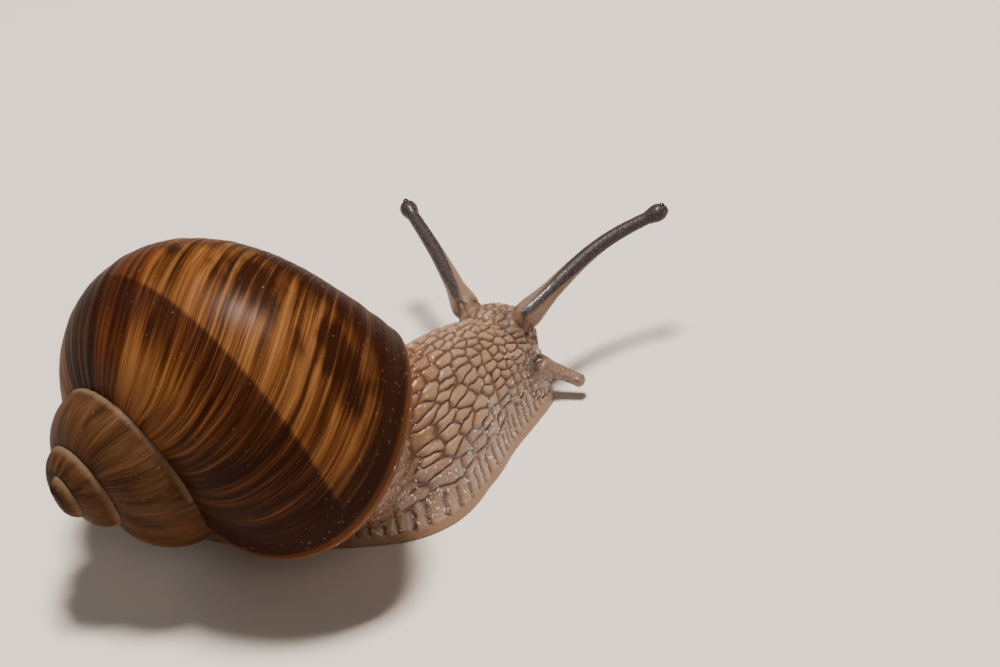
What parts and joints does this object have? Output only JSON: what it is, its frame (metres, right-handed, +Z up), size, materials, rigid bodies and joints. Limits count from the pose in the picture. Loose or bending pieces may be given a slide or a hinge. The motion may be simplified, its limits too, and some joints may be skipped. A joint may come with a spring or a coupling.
{
  "type": "land snail",
  "caption": "Crawling land snail, life size: brown streaked spiral shell, wet wrinkled body bent to its left, feelers stretched out; a still museum-style model.",
  "frame": {"origin": "middle of the bounding box's floor, level with the flat sole", "axes": "+X the way the rear half of the foot heads, from tail to front; +Y the animal's left, to which its front half turns; +Z up"},
  "size_m": [0.0705, 0.0583, 0.0381],
  "materials": {
    "shell": "satin gloss, streaked brown",
    "flesh": "wet, wrinkled",
    "eye": "glossy black"
  },
  "bodies": {
    "root": {"shell": "shell", "mantle_collar": "flesh", "trunk": "flesh", "neck": "flesh", "head": "flesh", "foot_front": "flesh", "foot_middle": "flesh", "foot_tail": "flesh", "tentacle_upper_left_base": "flesh", "tentacle_upper_left_stem": "flesh", "tentacle_upper_left_bulb": "flesh", "tentacle_upper_right_base": "flesh", "tentacle_upper_right_stem": "flesh", "tentacle_upper_right_bulb": "flesh", "tentacle_lower_left": "flesh", "tentacle_lower_right": "flesh", "eye_left": "eye", "eye_right": "eye"}
  },
  "joints": []
}
